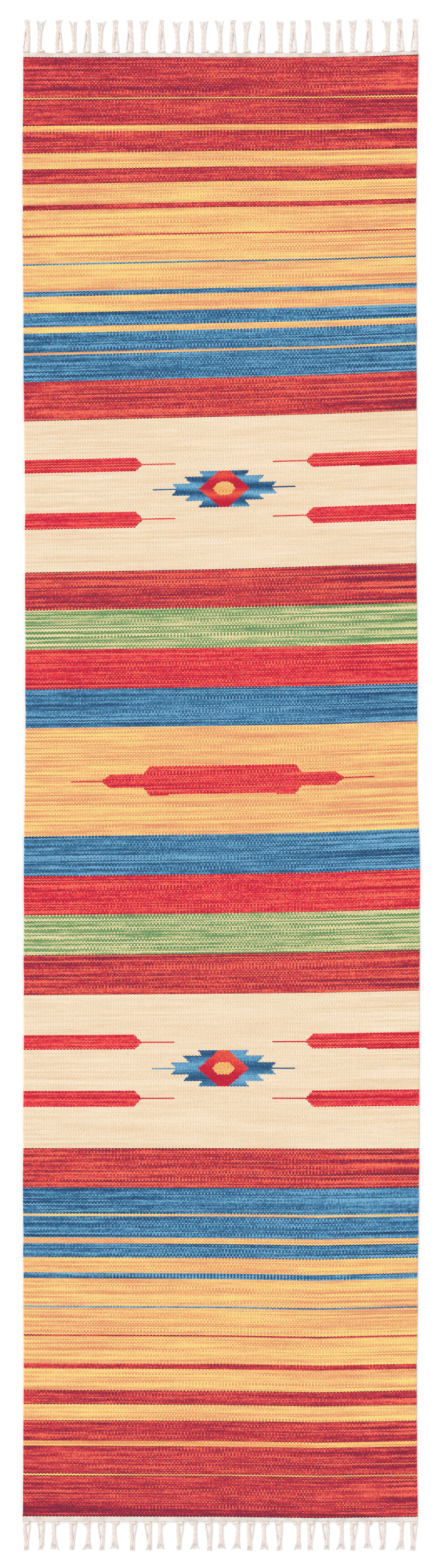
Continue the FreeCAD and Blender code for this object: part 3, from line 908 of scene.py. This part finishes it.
def cord_solid(path, radius, seed, sides=10, plies=2, lay=9.0 * MM, groove=0.1):
    """A twisted cord along a path: a closed tube whose plies wind round it."""
    count = len(path)
    radius = np.broadcast_to(radius, count)
    step = np.gradient(path, axis=0)
    tangent = step / np.linalg.norm(step, axis=1, keepdims=True)
    side = np.cross(tangent, (0.0, 0.0, 1.0))
    side /= np.linalg.norm(side, axis=1, keepdims=True) + 1e-12
    up = np.cross(side, tangent)
    along = np.concatenate([[0], np.cumsum(np.linalg.norm(np.diff(path, axis=0), axis=1))])
    angle = np.linspace(0, 2 * math.pi, sides, endpoint=False)[None, :]
    crown = np.cos(plies * angle - 2 * math.pi * along[:, None] / lay + seed)
    reach = radius[:, None] * (1 + groove * crown)
    points = path[:, None, :] + reach[..., None] * (
        np.cos(angle)[..., None] * side[:, None, :] + np.sin(angle)[..., None] * up[:, None, :])
    ring = np.arange(count * sides).reshape(count, sides)
    a, b = ring[:-1], np.roll(ring, -1, axis=1)[:-1]
    c, d = np.roll(ring, -1, axis=1)[1:], ring[1:]
    walls = np.stack([a, b, c, d], axis=-1).reshape(-1, 4)
    caps = []
    near, far = ring[0], ring[-1]
    for i in range(sides // 2 - 1):
        caps.append([near[i + 1], near[i], near[-1 - i], near[-2 - i]])
        caps.append([far[i], far[i + 1], far[-2 - i], far[-1 - i]])
    weave = np.stack([0.5 + 0.5 * crown, np.broadcast_to(along[:, None] / MM, crown.shape),
                      np.full(crown.shape, float(seed))], axis=-1)
    return points.reshape(-1, 3), np.concatenate([walls, np.array(caps)]), weave.reshape(-1, 3)


# Paths of the cords of a tassel: (aside in mm, share of the tassel's length, height in mm). The
# last cord of a loop is its single thin one.
LOOP_CORDS = (
    ((-4.4, 0.05, 1.4), (-5.0, 0.25, 1.3), (-4.4, 0.50, 1.3), (-3.7, 0.72, 1.4), (-4.2, 0.88, 1.4)),
    ((-2.8, 0.04, 2.3), (-3.4, 0.26, 2.2), (-2.6, 0.50, 2.3), (-2.0, 0.72, 2.2), (-1.9, 0.90, 1.6)),
    ((-1.6, 0.05, 1.3), (-2.2, 0.28, 1.3), (-1.0, 0.52, 1.3), (-0.4, 0.74, 1.3), (0.2, 0.89, 1.4)),
    ((4.5, 0.05, 1.4), (4.7, 0.16, 1.2), (3.4, 0.36, 1.2), (2.2, 0.56, 1.2), (1.0, 0.74, 1.2),
     (1.4, 0.88, 1.3)),
)
STEM_CORDS = (
    ((-4.6, 0.04, 1.4), (-3.9, 0.22, 1.3), (-3.7, 0.46, 1.3), (-4.0, 0.68, 1.3), (-5.6, 0.86, 1.3)),
    ((-2.9, 0.04, 2.3), (-2.3, 0.22, 2.2), (-2.1, 0.46, 2.2), (-2.0, 0.68, 2.0), (-2.4, 0.85, 1.4)),
    ((-0.9, 0.05, 1.3), (-0.7, 0.24, 1.3), (-0.5, 0.48, 1.3), (-0.2, 0.70, 1.3), (0.9, 0.85, 1.3)),
    ((0.4, 0.05, 2.2), (-0.6, 0.24, 2.2), (-0.3, 0.48, 2.2), (0.8, 0.70, 1.9), (3.9, 0.88, 1.3)),
)
# The sizes of the cords, knots and joining warps in millimetres, and how finely they are cut.
CORD_RINGS = 30
CORD_RADIUS = 1.3
THIN_CORD_RADIUS = 1.15
CORD_LIFT = 0.2
TIP_TAPER = (0.95, 0.85, 0.7, 0.5)
FIBRES_PER_CORD = 4
FIBRE_RINGS = 8
KNOT_RADIUS = 1.6
RINGS_PER_TURN = 22
JOINING_WARPS = (-3.2, -1.1, 1.1, 3.2)
WARP_RADIUS = 1.05
WARP_HEIGHT = 2.0
WARP_RINGS = 25


def knot_turns(centre, half_width, half_length, turns, lean):
    """A cord wound flat round itself: the saddle or the lump at the root of a tassel."""
    angle = np.linspace(0, 2 * math.pi * turns, RINGS_PER_TURN * turns)
    rise = np.linspace(1.8, 3.4, len(angle))
    shrink = np.linspace(1.0, 0.72, len(angle))
    across = centre[0] + half_width * np.cos(angle) * shrink
    outward = centre[1] + half_length * np.sin(angle) * shrink + lean * np.cos(angle)
    return np.stack([across, outward, rise], axis=-1)


def frayed_fibre(end, direction, length, rng):
    """A fibre that leaves the tip of a cord and sinks to the floor."""
    spread = rng.uniform(-0.45, 0.45)
    reach = rng.uniform(0.09, 0.13) * length / MM
    turned = direction + np.array((spread, 0, 0))
    bent = turned + np.array((rng.uniform(-0.3, 0.3), 0, 0))
    route = np.array([end - 1.5 * direction, end + 0.5 * reach * turned, end + reach * bent])
    route[1:, 2] = (0.9, 0.5)
    thin = np.linspace(0.55, 0.16, FIBRE_RINGS) * MM
    return cord_solid(smooth_path(route, FIBRE_RINGS) * MM, thin, rng.uniform(0, 6), sides=6, groove=0.0)


def frayed_cord(route, hand, lean, radius, length, rng):
    """One cord of a tassel along its route, and the fibres at its tip."""
    points = []
    for aside, share, height in route:
        wobble = rng.uniform(-0.35, 0.35)
        points.append((hand * (aside + wobble) + lean * share, share * length / MM, height))
    points = np.array(points)
    end = points[-1].copy()
    before = points[-2].copy()
    direction = (end - before) / np.linalg.norm(end - before)
    points[:, 2] += CORD_LIFT
    radii = np.full(CORD_RINGS, radius * MM)
    radii[-len(TIP_TAPER):] *= TIP_TAPER
    solids = [cord_solid(smooth_path(points, CORD_RINGS) * MM, radii, rng.uniform(0, 6))]
    for _ in range(FIBRES_PER_CORD):
        solids.append(frayed_fibre(end, direction, length, rng))
    return solids


def tassel_solids(kind, length, rng):
    """The knot and the cords of one tassel, about its root: x across, y outward, in metres."""
    hand = 1 if kind in "rY" else -1
    loop = kind in "lr"
    lean = rng.uniform(-1.2, 1.2)
    routes = LOOP_CORDS if loop else STEM_CORDS
    cords = []
    for route in routes:
        radius = THIN_CORD_RADIUS if loop and route is routes[-1] else CORD_RADIUS
        cords += frayed_cord(route, hand, lean, radius, length, rng)
    if loop:
        turns = [knot_turns((hand * 0.1, 2.6), 4.6, 1.1, turns=2, lean=0.2 * hand)]
    else:
        turns = [knot_turns((hand * 2.1, 2.9), 3.1, 1.2, turns=2, lean=0.3 * hand),
                 knot_turns((hand * -2.6, 2.1), 2.0, 0.7, turns=1, lean=0.0)]
    knots = [cord_solid(turn * MM, KNOT_RADIUS * MM, rng.uniform(0, 6), groove=0.07) for turn in turns]
    return knots, cords


def warp_ends():
    """The warps that run out of the header into a knot, about the tassel's root."""
    outward = np.linspace(-6.5, 2.5, WARP_RINGS)
    cords = []
    for aside in JOINING_WARPS:
        path = np.stack([np.full(WARP_RINGS, aside), outward, np.full(WARP_RINGS, WARP_HEIGHT)], axis=-1)
        cords.append(cord_solid(path * MM, WARP_RADIUS * MM, aside, sides=8, groove=0.06))
    return cords


def tassel_places(end):
    """Where the tassels of one end stand: x of each, from the CAD knots' first and last."""
    low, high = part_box(f"{end}_tassel_knots")
    half_knot = 5.5 * MM
    steps = [0.0]
    for group in TASSELS[end]:
        steps += [1.0] * (len(group) - 1) + [WIDE_GAP]
    along = np.cumsum(steps[:-1])
    return low.x + half_knot + along / along[-1] * (high.x - low.x - 2 * half_knot)


def moved(part, x, y, outward):
    """A tassel's solid, turned outward and moved to its root."""
    points, quads, weave = part
    points = points * (1, outward, 1) + (x, y, 0)
    return points, quads if outward > 0 else quads[:, ::-1], weave


def fringe(end, outward):
    """The knots and the cords of one end's tassels, and the warps that join them to the header."""
    rng = random.Random(f"{end} fringe")
    low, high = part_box(f"{end}_tassel_cords")
    knots_low, knots_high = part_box(f"{end}_tassel_knots")
    root = knots_low.y if outward > 0 else knots_high.y
    tip = high.y if outward > 0 else low.y
    places = tassel_places(end)
    knots = []
    cords = []
    joining = []
    for x, kind in zip(places, "".join(TASSELS[end])):
        y = root + float(head_rise(np.array(x), np.array(root)))
        x += rng.uniform(-0.8, 0.8) * MM
        own_knots, own_cords = tassel_solids(kind, abs(tip - root) * rng.uniform(0.965, 1.0), rng)
        knots += [moved(part, x, y, outward) for part in own_knots]
        cords += [moved(part, x, y, outward) for part in own_cords]
        joining += [moved(part, x, y, outward) for part in warp_ends()]
    turning = mesh_object(f"{end}_tassel_warps_cotton", joining, FRINGE)
    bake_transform(turning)
    pieces = [turning]
    for label, parts in (("tassel_knots", knots), ("tassel_cords", cords)):
        piece = mesh_object(f"{end}_{label}_cotton", parts, FRINGE)
        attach(piece, f"{end}_fringe")
        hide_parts(f"{end}_{label}")
        pieces.append(piece)
    return pieces


# ---- sheets

def flat_size(node):
    """Width, length and area of a woven piece before it is laid: its stripes side by side."""
    loops = outlines(node)
    spans = [np.array(loop).max(axis=0) - np.array(loop).min(axis=0) for loop in loops]
    area = sum(signed_area(loop) for loop in loops)
    width = float(max(span[0] for span in spans))
    if node in MOTIFS:
        area -= sum(signed_area(loop) for motif in MOTIFS[node] for loop in outlines(motif))
        return width, float(spans[0][1]), area
    if width > 1.9 * HALF_WIDTH:
        return width, area / width, area
    return width, float(sum(span[1] for span in spans)), area


def strips_apart(node, other, places):
    """How far one woven piece lies from another: on another panel or not, then in strips."""
    steps = min(abs(i - j) for i in places[node] for j in places[other])
    return BODY_OF[other] != BODY_OF[node], steps


def declare_sheets(strips, cloth, fringes):
    """Pair each woven piece too narrow to be a sheet of its own, and the tassels of a header, with
    the nearest wide piece of its panel. Nothing more is done with the pairs."""
    sizes = {node: flat_size(node) for node in cloth}
    wide = [strip["node"] for strip in strips if sizes[strip["node"]][1] >= NARROWEST_SHEET]
    hosts = {node: [] for node in cloth if sizes[node][1] >= NARROWEST_SHEET}
    places = {node: [i for i, strip in enumerate(strips) if strip["node"] == node] for node in cloth}
    for node in cloth:
        if node not in hosts:
            nearest = min(wide, key=lambda other: strips_apart(node, other, places))
            hosts[nearest].append(cloth[node])
            if "header" in node:
                hosts[nearest] += fringes[node.split("_")[0]]
    for node, riders in hosts.items():
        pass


# ---- camera, light and floor

def add_camera():
    """Straight above the rug, framing it as the photo does, a little off its middle."""
    frame_height = 2.607
    distance = 5.0
    aim = (0.0035, 0.002)
    data = bpy.data.cameras.new("camera")
    data.sensor_width = 24.0
    data.lens = data.sensor_width * distance / frame_height
    data.clip_end = 100
    camera = add_object("camera", data)
    camera.location = (*aim, distance)
    bpy.context.scene.camera = camera


def add_floor():
    """A plain pale floor that reaches far past the picture."""
    size = 150.0
    corners = [(-size, -size, 0), (size, -size, 0), (size, size, 0), (-size, size, 0)]
    mesh = bpy.data.meshes.new("floor")
    mesh.from_pydata(corners, [], [(0, 1, 2, 3)])
    material = bpy.data.materials.new("floor")
    Nodes(material).finish({"Base Color": grey(0.95), "Roughness": 0.9, "Specular IOR Level": 0.2})
    mesh.materials.append(material)
    floor = add_object("floor", mesh)


def add_light():
    """A broad soft light from the north-west over an even white room."""
    sun = bpy.data.lights.new("key", "SUN")
    sun.energy = 1.24
    sun.angle = math.radians(50)
    lamp = add_object("key", sun)
    shines_towards = Vector((0.45, -0.75, -1.0))
    lamp.rotation_euler = shines_towards.to_track_quat("-Z", "Y").to_euler()
    world = bpy.data.worlds.new("studio")
    world.use_nodes = True
    background = world.node_tree.nodes["Background"]
    background.inputs["Color"].default_value = (1, 1, 1, 1)
    background.inputs["Strength"].default_value = 0.78
    bpy.context.scene.world = world
    bpy.context.scene.view_settings.view_transform = "Standard"


add_camera()
add_floor()
add_light()
STRIPS = band_strips()
number_the_picks(STRIPS)
CLOTH = woven_pieces(STRIPS)
hang_on_bodies(CLOTH)
FRINGES = {"north": fringe("north", 1), "south": fringe("south", -1)}
declare_sheets(STRIPS, CLOTH, FRINGES)
